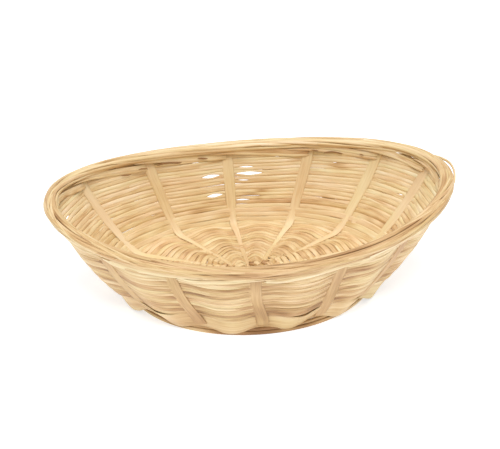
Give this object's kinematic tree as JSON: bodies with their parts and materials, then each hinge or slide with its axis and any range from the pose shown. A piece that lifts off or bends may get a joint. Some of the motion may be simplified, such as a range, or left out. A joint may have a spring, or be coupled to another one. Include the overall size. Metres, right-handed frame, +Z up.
{
  "type": "woven wicker basket",
  "caption": "Shallow oval bread basket woven from split cane over flat slats, with flared fluted sides, a stranded rim and an open top.",
  "frame": {"origin": "centre of the rest plane under the foot ring", "axes": "+Z up, +X along the basket's length towards the end with the stray rim strand, +Y across it"},
  "size_m": [0.2419, 0.1568, 0.0649],
  "materials": {
    "slat": "satin",
    "weave": "satin",
    "band": "satin",
    "border": "satin",
    "rim": "satin",
    "foot": "satin"
  },
  "bodies": {
    "root": {"base_band": "band", "border_band_inner": "border", "border_band_outer": "border", "edge_strand": "weave", "floor_strand_1": "weave", "floor_strand_2": "weave", "floor_strand_3": "weave", "floor_strand_4": "weave", "floor_strand_5": "weave", "floor_strand_6": "weave", "floor_strand_7": "weave", "floor_strand_8": "weave", "foot_ring": "foot", "rim_strand_inner_1": "rim", "rim_strand_inner_2": "rim", "rim_strand_inner_3": "rim", "rim_strand_inner_4": "rim", "rim_strand_inner_5": "rim", "rim_strand_outer_1": "rim", "rim_strand_outer_2": "rim", "rim_strand_outer_3": "rim", "rim_strand_outer_4": "rim", "rim_strand_outer_5": "rim", "slat_cross_1": "slat", "slat_cross_2": "slat", "slat_cross_3": "slat", "slat_cross_4": "slat", "slat_cross_5": "slat", "slat_cross_6": "slat", "slat_cross_7": "slat", "slat_cross_8": "slat", "slat_long_1": "slat", "slat_long_2": "slat", "slat_long_3": "slat", "slat_long_4": "slat", "slat_long_5": "slat", "slat_long_6": "slat", "stray_strand": "rim", "wall_strand_1": "weave", "wall_strand_2": "weave", "wall_strand_3": "weave", "wall_strand_4": "weave", "wall_strand_5": "weave", "wall_strand_6": "weave", "wall_strand_7": "weave", "wall_strand_8": "weave"}
  },
  "joints": []
}
